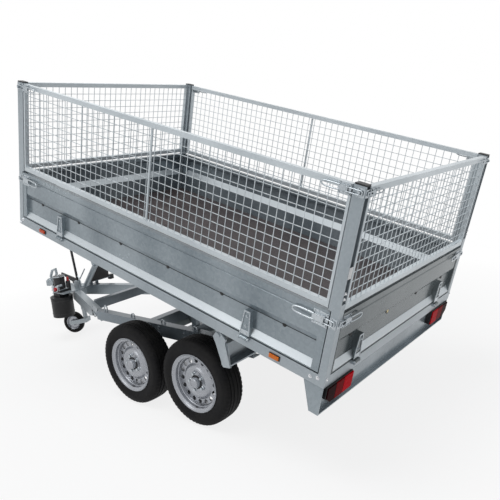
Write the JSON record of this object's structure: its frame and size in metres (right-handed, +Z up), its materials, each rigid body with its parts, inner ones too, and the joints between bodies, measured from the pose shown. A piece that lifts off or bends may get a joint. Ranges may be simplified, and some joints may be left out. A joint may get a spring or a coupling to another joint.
{
  "type": "tipping trailer",
  "caption": "Tandem-axle galvanised tipping trailer with drop boards, mesh side panels, tilted bed, telescopic ram, V drawbar, ball coupling and jockey wheel.",
  "frame": {"origin": "centre of the coupling ball in the coupling head", "axes": "+X forward to the towing car, +Y to the trailer's left, +Z up from level ground"},
  "size_m": [3.9236, 1.644, 2.149],
  "materials": {
    "galvanised": "hot-dip galvanised steel with a fine spangle",
    "black_rubber": "black rubber",
    "black_paint": "black painted steel",
    "black_plastic": "matt black plastic",
    "plywood": "brown film-faced plywood",
    "lamp_red": "red lens in a black housing",
    "ram_steel": "smooth plated steel",
    "tyre": "black tyre rubber",
    "wheel_silver": "silver painted pressed steel"
  },
  "bodies": {
    "chassis": {"chassis_beams": "galvanised", "chassis_crossbars": "galvanised", "drawbar_legs": "galvanised", "draw_tube": "galvanised", "overrun_gaiter": "black_rubber", "coupling_head": "galvanised", "brake_lever": "black_paint", "hinge_beam": "galvanised", "axles": "galvanised", "ram_cradle": "galvanised", "power_pack_tank": "black_plastic", "power_pack_motor": "black_paint", "battery_box": "black_plastic", "front_stay": "galvanised", "jockey_tube": "galvanised", "jockey_spindle": "black_paint"},
    "bed": {"bed_rails": "galvanised", "bed_subframe": "galvanised", "floor_panel": "plywood", "corner_posts": "galvanised", "board_front": "galvanised", "mesh_front": "galvanised", "lamp_panel": "galvanised", "rear_lamps": "lamp_red"},
    "left_board": {"board_left": "galvanised"},
    "right_board": {"board_right": "galvanised"},
    "rear_board": {"board_rear": "galvanised"},
    "left_gate": {"mesh_left": "galvanised"},
    "right_gate": {"mesh_right": "galvanised"},
    "rear_gate": {"mesh_rear": "galvanised"},
    "ram_barrel": {"ram_barrel": "black_paint"},
    "ram_stage_1": {"ram_stage_1": "ram_steel"},
    "ram_stage_2": {"ram_stage_2": "ram_steel"},
    "ram_stage_3": {"ram_stage_3": "ram_steel"},
    "jockey_swivel": {"jockey_fork": "galvanised"},
    "jockey_wheel": {"jockey_tyre": "tyre", "jockey_rim": "wheel_silver"},
    "wheel_rear_left": {"tyre_rear_left": "tyre", "rim_rear_left": "wheel_silver"},
    "wheel_rear_right": {"tyre_rear_right": "tyre", "rim_rear_right": "wheel_silver"},
    "wheel_front_left": {"tyre_front_left": "tyre", "rim_front_left": "wheel_silver"},
    "wheel_front_right": {"tyre_front_right": "tyre", "rim_front_right": "wheel_silver"}
  },
  "joints": [
    {"name": "bed_tip", "type": "hinge", "parent": "chassis", "child": "bed", "pos_m": [-2.952, 0, 0.219], "axis": [0, -1, 0], "range_deg": [-15.6, 26.4]},
    {"name": "ram_swing", "type": "hinge", "parent": "chassis", "child": "ram_barrel", "pos_m": [-2.215, 0, -0.175], "axis": [0, -1, 0], "range_deg": [-7.81, 13.21]},
    {"name": "ram_slide_one", "type": "slide", "parent": "ram_barrel", "child": "ram_stage_1", "axis": [0.1269, 0, 0.9919], "range_m": [-0.06916, 0.11704]},
    {"name": "ram_slide_two", "type": "slide", "parent": "ram_stage_1", "child": "ram_stage_2", "axis": [0.1269, 0, 0.9919], "range_m": [-0.06916, 0.11704]},
    {"name": "ram_slide_three", "type": "slide", "parent": "ram_stage_2", "child": "ram_stage_3", "axis": [0.1269, 0, 0.9919], "range_m": [-0.06916, 0.11704]},
    {"name": "left_board_drop", "type": "hinge", "parent": "bed", "child": "left_board", "pos_m": [-2.37057, 0.812, 0.4644], "axis": [-0.9632, 0, -0.2689], "range_deg": [0, 170]},
    {"name": "right_board_drop", "type": "hinge", "parent": "bed", "child": "right_board", "pos_m": [-2.37057, -0.812, 0.4644], "axis": [0.9632, 0, 0.2689], "range_deg": [0, 170]},
    {"name": "rear_board_drop", "type": "hinge", "parent": "bed", "child": "rear_board", "pos_m": [-3.64387, 0, 0.10888], "axis": [0, -1, 0], "range_deg": [0, 170]},
    {"name": "left_gate_drop", "type": "hinge", "parent": "bed", "child": "left_gate", "pos_m": [-2.47034, 0.784, 0.82173], "axis": [-0.9632, 0, -0.2689], "range_deg": [0, 90]},
    {"name": "right_gate_drop", "type": "hinge", "parent": "bed", "child": "right_gate", "pos_m": [-2.47034, -0.784, 0.82173], "axis": [0.9632, 0, 0.2689], "range_deg": [0, 90]},
    {"name": "rear_gate_drop", "type": "hinge", "parent": "bed", "child": "rear_gate", "pos_m": [-3.71667, 0, 0.47375], "axis": [0, -1, 0], "range_deg": [0, 90]},
    {"name": "jockey_turn", "type": "hinge", "parent": "chassis", "child": "jockey_swivel", "pos_m": [-0.515, 0, -0.307], "axis": [0.1191, 0, 0.9929], "continuous": true},
    {"name": "jockey_roll", "type": "hinge", "parent": "jockey_swivel", "child": "jockey_wheel", "pos_m": [-0.39899, 0.05409, -0.325], "axis": [-0.4226, 0.9063, 0], "continuous": true},
    {"name": "rear_left_wheel_roll", "type": "hinge", "parent": "chassis", "child": "wheel_rear_left", "pos_m": [-2.665, 0.6675, -0.152], "axis": [0, 1, 0], "continuous": true},
    {"name": "rear_right_wheel_roll", "type": "hinge", "parent": "chassis", "child": "wheel_rear_right", "pos_m": [-2.665, -0.6675, -0.152], "axis": [0, 1, 0], "continuous": true},
    {"name": "front_left_wheel_roll", "type": "hinge", "parent": "chassis", "child": "wheel_front_left", "pos_m": [-2.079, 0.6675, -0.152], "axis": [0, 1, 0], "continuous": true},
    {"name": "front_right_wheel_roll", "type": "hinge", "parent": "chassis", "child": "wheel_front_right", "pos_m": [-2.079, -0.6675, -0.152], "axis": [0, 1, 0], "continuous": true}
  ],
  "couplings": [
    {"joint": "ram_swing", "follows": "bed_tip", "ratio": 0.5},
    {"joint": "ram_slide_one", "follows": "bed_tip", "m_per_rad": 0.25401},
    {"joint": "ram_slide_two", "follows": "bed_tip", "m_per_rad": 0.25401},
    {"joint": "ram_slide_three", "follows": "bed_tip", "m_per_rad": 0.25401}
  ]
}
